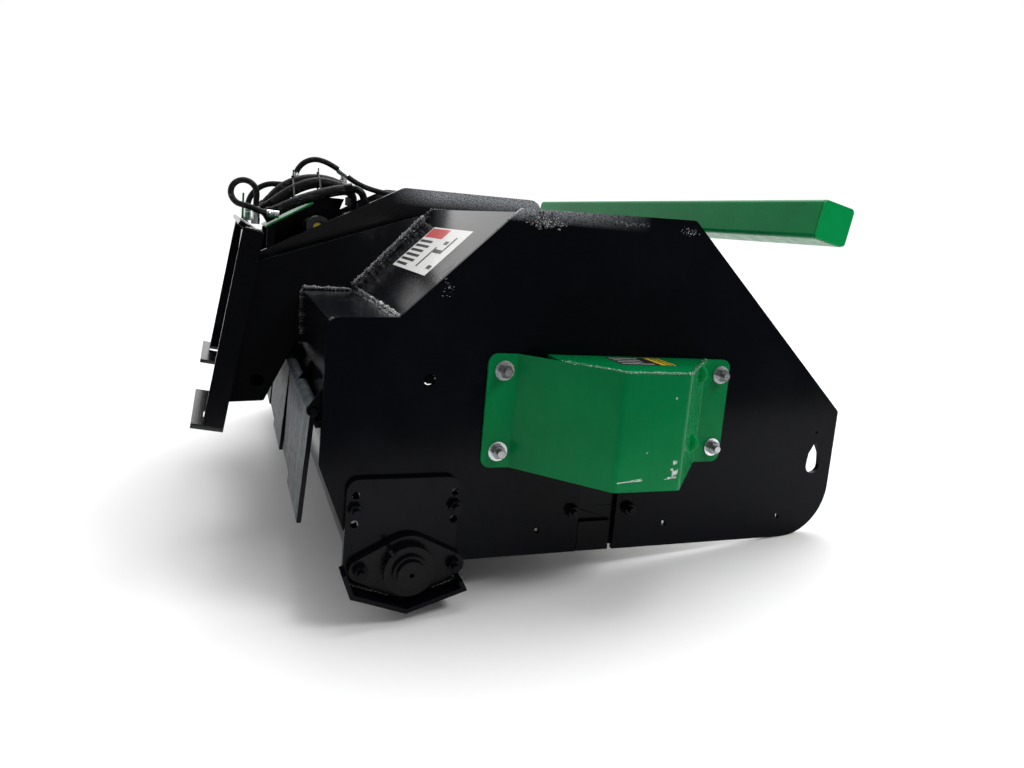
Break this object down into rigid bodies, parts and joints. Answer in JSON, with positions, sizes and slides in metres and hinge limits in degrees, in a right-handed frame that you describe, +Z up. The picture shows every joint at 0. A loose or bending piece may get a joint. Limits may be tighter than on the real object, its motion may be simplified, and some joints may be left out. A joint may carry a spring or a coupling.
{
  "type": "drum mulcher head",
  "caption": "Forestry mulching head for a skid-steer loader: toothed drum rotor in a steel hood, with loader plate, rear roller, rear flaps, hose run and push bar.",
  "frame": {"origin": "on the floor, at mid-width and at the middle of the length", "axes": "+X forwards in the working direction, +Y to the machine's left, +Z up"},
  "size_m": [1.6096, 2.239, 1.0191],
  "materials": {
    "black_paint": "gloss",
    "green_paint": "gloss",
    "zinc": "zinc plated",
    "cast_iron": "painted casting",
    "hose_rubber": "satin",
    "yellow_plastic": "satin",
    "bright_steel": "turned",
    "tooth_steel": "forged"
  },
  "bodies": {
    "housing": {"side_plate_right": "black_paint", "side_plate_left": "black_paint", "slot_fillers": "black_paint", "filler_bolts": "black_paint", "hood_skin": "black_paint", "hood_bars": "black_paint", "frame_rail_right": "black_paint", "frame_rail_left": "black_paint", "neck_side_right": "black_paint", "neck_side_left": "black_paint", "neck_floor": "black_paint", "attach_plate": "black_paint", "attach_end_right": "black_paint", "attach_end_left": "black_paint", "attach_lips": "black_paint", "drum_bearing_right": "cast_iron", "hydraulic_motor": "cast_iron", "drum_guard_right": "green_paint", "drum_guard_left": "green_paint", "guard_fasteners": "zinc", "roller_bearing_right": "cast_iron", "roller_bearing_left": "cast_iron", "roller_bracket_right": "black_paint", "roller_bracket_left": "black_paint", "bracket_bolts": "black_paint", "bearing_bolts": "black_paint", "flap_rod": "black_paint", "flap_lugs": "black_paint", "arm_lugs": "black_paint", "arm_pins": "zinc", "valve_block": "cast_iron", "motor_pipes": "zinc", "hose_tray": "green_paint", "knurled_coupling": "cast_iron", "yellow_plug": "yellow_plastic", "drain_fittings": "zinc", "hose_1": "hose_rubber", "hose_2": "hose_rubber", "hose_3": "hose_rubber", "hose_drain": "hose_rubber", "hose_return": "hose_rubber", "hose_loop": "hose_rubber", "hose_couplers": "zinc"},
    "rotor": {"drum_tube": "black_paint", "drum_shaft": "bright_steel", "tooth_holders": "black_paint", "teeth": "tooth_steel"},
    "roller": {"roller_tube": "black_paint", "roller_shaft": "black_paint"},
    "flap_1_body": {"flap_1": "black_paint"},
    "flap_2_body": {"flap_2": "black_paint"},
    "flap_3_body": {"flap_3": "black_paint"},
    "flap_4_body": {"flap_4": "black_paint"},
    "flap_5_body": {"flap_5": "black_paint"},
    "flap_6_body": {"flap_6": "black_paint"},
    "flap_7_body": {"flap_7": "black_paint"},
    "push_frame": {"push_bar": "green_paint", "push_bar_caps": "green_paint", "push_arm_right": "green_paint", "push_arm_left": "green_paint"}
  },
  "joints": [
    {"name": "rotor_spin", "type": "hinge", "parent": "housing", "child": "rotor", "pos_m": [0.12301, 0, 0.39719], "axis": [0, 1, 0], "continuous": true},
    {"name": "roller_spin", "type": "hinge", "parent": "housing", "child": "roller", "pos_m": [-0.3752, 0, 0.1095], "axis": [0, 1, 0], "continuous": true},
    {"name": "flap_1_swing", "type": "hinge", "parent": "housing", "child": "flap_1_body", "pos_m": [-0.54832, -0.774, 0.45752], "axis": [0, 1, 0], "range_deg": [-4, 66]},
    {"name": "flap_2_swing", "type": "hinge", "parent": "housing", "child": "flap_2_body", "pos_m": [-0.54832, -0.516, 0.45752], "axis": [0, 1, 0], "range_deg": [-2, 20]},
    {"name": "flap_3_swing", "type": "hinge", "parent": "housing", "child": "flap_3_body", "pos_m": [-0.54832, -0.258, 0.45752], "axis": [0, 1, 0], "range_deg": [-4.5, 17.5]},
    {"name": "flap_4_swing", "type": "hinge", "parent": "housing", "child": "flap_4_body", "pos_m": [-0.54832, 0, 0.45752], "axis": [0, 1, 0], "range_deg": [-3, 19]},
    {"name": "flap_5_swing", "type": "hinge", "parent": "housing", "child": "flap_5_body", "pos_m": [-0.54832, 0.258, 0.45752], "axis": [0, 1, 0], "range_deg": [-4, 18]},
    {"name": "flap_6_swing", "type": "hinge", "parent": "housing", "child": "flap_6_body", "pos_m": [-0.54832, 0.516, 0.45752], "axis": [0, 1, 0], "range_deg": [-2.5, 19.5]},
    {"name": "flap_7_swing", "type": "hinge", "parent": "housing", "child": "flap_7_body", "pos_m": [-0.54832, 0.774, 0.45752], "axis": [0, 1, 0], "range_deg": [-3.5, 66.5]},
    {"name": "push_bar_tilt", "type": "hinge", "parent": "housing", "child": "push_frame", "pos_m": [0.43469, 0, 0.78903], "axis": [0, 1, 0], "range_deg": [-10, 12]}
  ]
}
